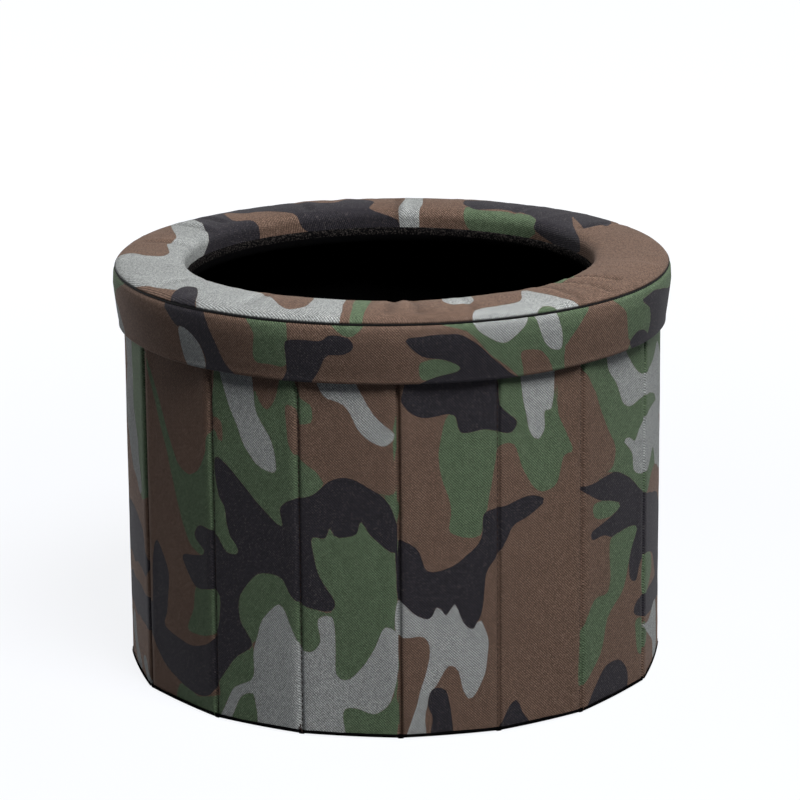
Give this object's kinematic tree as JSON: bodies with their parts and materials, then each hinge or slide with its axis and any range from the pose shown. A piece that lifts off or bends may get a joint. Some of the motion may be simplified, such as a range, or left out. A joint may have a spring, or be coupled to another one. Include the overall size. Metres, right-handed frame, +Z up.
{
  "type": "folding camp toilet",
  "caption": "Round folding camp toilet: a drum wall of stiff cloth-covered panels that presses flat, a cloth floor and a lift-off padded ring seat.",
  "frame": {"origin": "middle of the drum on the ground", "axes": "+Z up along the drum's axis, -Y towards the front panel, wall panel 01 and the folded pack at +Y"},
  "size_m": [0.2986, 0.2986, 0.2245],
  "materials": {
    "board": "matt",
    "camo_cloth": "matt woven cloth",
    "lining": "matt woven cloth",
    "foam": "open-cell foam",
    "seam": "matt"
  },
  "bodies": {
    "wall_panel_01": {"wall_board_01": "board", "wall_cover_01": "camo_cloth", "wall_lining_01": "lining", "floor_cloth": "lining"},
    "wall_panel_02": {"wall_board_02": "board", "wall_cover_02": "camo_cloth", "wall_lining_02": "lining"},
    "wall_panel_03": {"wall_board_03": "board", "wall_cover_03": "camo_cloth", "wall_lining_03": "lining"},
    "wall_panel_04": {"wall_board_04": "board", "wall_cover_04": "camo_cloth", "wall_lining_04": "lining"},
    "wall_panel_05": {"wall_board_05": "board", "wall_cover_05": "camo_cloth", "wall_lining_05": "lining"},
    "wall_panel_06": {"wall_board_06": "board", "wall_cover_06": "camo_cloth", "wall_lining_06": "lining"},
    "wall_panel_07": {"wall_board_07": "board", "wall_cover_07": "camo_cloth", "wall_lining_07": "lining"},
    "wall_panel_08": {"wall_board_08": "board", "wall_cover_08": "camo_cloth", "wall_lining_08": "lining"},
    "wall_panel_09": {"wall_board_09": "board", "wall_cover_09": "camo_cloth", "wall_lining_09": "lining"},
    "wall_panel_10": {"wall_board_10": "board", "wall_cover_10": "camo_cloth", "wall_lining_10": "lining"},
    "wall_panel_11": {"wall_board_11": "board", "wall_cover_11": "camo_cloth", "wall_lining_11": "lining"},
    "wall_panel_12": {"wall_board_12": "board", "wall_cover_12": "camo_cloth", "wall_lining_12": "lining"},
    "wall_panel_13": {"wall_board_13": "board", "wall_cover_13": "camo_cloth", "wall_lining_13": "lining"},
    "wall_panel_14": {"wall_board_14": "board", "wall_cover_14": "camo_cloth", "wall_lining_14": "lining"},
    "wall_panel_15": {"wall_board_15": "board", "wall_cover_15": "camo_cloth", "wall_lining_15": "lining"},
    "wall_panel_16": {"wall_board_16": "board", "wall_cover_16": "camo_cloth", "wall_lining_16": "lining"},
    "seat": {"seat_lining": "lining", "seat_board": "board", "seat_foam": "foam", "seat_cover": "camo_cloth", "seat_seam": "seam", "seat_band": "camo_cloth", "seat_skirt": "camo_cloth"}
  },
  "joints": [
    {"name": "seam_01_02", "type": "hinge", "parent": "wall_panel_01", "child": "wall_panel_02", "pos_m": [0.02515, 0.13772, 0], "axis": [0, 0, 1], "range_deg": [0, 20.7]},
    {"name": "seam_02_03", "type": "hinge", "parent": "wall_panel_02", "child": "wall_panel_03", "pos_m": [0.07221, 0.11994, 0], "axis": [0, 0, 1], "range_deg": [0, 22.5]},
    {"name": "seam_03_04", "type": "hinge", "parent": "wall_panel_03", "child": "wall_panel_04", "pos_m": [0.11517, 0.0796, 0], "axis": [0, 0, 1], "range_deg": [0, 24.3]},
    {"name": "seam_04_05", "type": "hinge", "parent": "wall_panel_04", "child": "wall_panel_05", "pos_m": [0.13772, 0.02515, 0], "axis": [0, 0, 1], "range_deg": [0, 24.3]},
    {"name": "fold_right", "type": "hinge", "parent": "wall_panel_05", "child": "wall_panel_06", "pos_m": [0.13587, -0.03375, 0], "axis": [0, 0, -1], "range_deg": [0, 155.7], "deforming": ["seat_skirt", "floor_cloth"]},
    {"name": "seam_06_07", "type": "hinge", "parent": "wall_panel_06", "child": "wall_panel_07", "pos_m": [0.10994, -0.08667, 0], "axis": [0, 0, 1], "range_deg": [0, 22.5]},
    {"name": "seam_07_08", "type": "hinge", "parent": "wall_panel_07", "child": "wall_panel_08", "pos_m": [0.07221, -0.11994, 0], "axis": [0, 0, 1], "range_deg": [0, 20.7]},
    {"name": "seam_01_16", "type": "hinge", "parent": "wall_panel_01", "child": "wall_panel_16", "pos_m": [-0.02515, 0.13772, 0], "axis": [0, 0, -1], "range_deg": [0, 20.7]},
    {"name": "seam_16_15", "type": "hinge", "parent": "wall_panel_16", "child": "wall_panel_15", "pos_m": [-0.07221, 0.11994, 0], "axis": [0, 0, -1], "range_deg": [0, 20.7]},
    {"name": "seam_15_14", "type": "hinge", "parent": "wall_panel_15", "child": "wall_panel_14", "pos_m": [-0.10994, 0.08667, 0], "axis": [0, 0, -1], "range_deg": [0, 22.5]},
    {"name": "fold_left", "type": "hinge", "parent": "wall_panel_14", "child": "wall_panel_13", "pos_m": [-0.13587, 0.03375, 0], "axis": [0, 0, 1], "range_deg": [0, 155.7]},
    {"name": "seam_13_12", "type": "hinge", "parent": "wall_panel_13", "child": "wall_panel_12", "pos_m": [-0.13772, -0.02515, 0], "axis": [0, 0, -1], "range_deg": [0, 24.3]},
    {"name": "seam_12_11", "type": "hinge", "parent": "wall_panel_12", "child": "wall_panel_11", "pos_m": [-0.11517, -0.0796, 0], "axis": [0, 0, -1], "range_deg": [0, 24.3]},
    {"name": "seam_11_10", "type": "hinge", "parent": "wall_panel_11", "child": "wall_panel_10", "pos_m": [-0.07221, -0.11994, 0], "axis": [0, 0, -1], "range_deg": [0, 22.5]},
    {"name": "seam_10_09", "type": "hinge", "parent": "wall_panel_10", "child": "wall_panel_09", "pos_m": [-0.02515, -0.13772, 0], "axis": [0, 0, -1], "range_deg": [0, 20.7]},
    {"name": "seat_lift", "type": "slide", "parent": "wall_panel_01", "child": "seat", "axis": [0, 0, 1], "range_m": [0, 0.25]}
  ],
  "couplings": [
    {"joint": "seam_01_02", "follows": "fold_right", "ratio": 0.13295},
    {"joint": "seam_02_03", "follows": "fold_right", "ratio": 0.14451},
    {"joint": "seam_03_04", "follows": "fold_right", "ratio": 0.15607},
    {"joint": "seam_04_05", "follows": "fold_right", "ratio": 0.15607},
    {"joint": "seam_06_07", "follows": "fold_right", "ratio": 0.14451},
    {"joint": "seam_07_08", "follows": "fold_right", "ratio": 0.13295},
    {"joint": "seam_01_16", "follows": "fold_right", "ratio": 0.13295},
    {"joint": "seam_16_15", "follows": "fold_right", "ratio": 0.13295},
    {"joint": "seam_15_14", "follows": "fold_right", "ratio": 0.14451},
    {"joint": "fold_left", "follows": "fold_right", "ratio": 1},
    {"joint": "seam_13_12", "follows": "fold_right", "ratio": 0.15607},
    {"joint": "seam_12_11", "follows": "fold_right", "ratio": 0.15607},
    {"joint": "seam_11_10", "follows": "fold_right", "ratio": 0.14451},
    {"joint": "seam_10_09", "follows": "fold_right", "ratio": 0.13295}
  ]
}
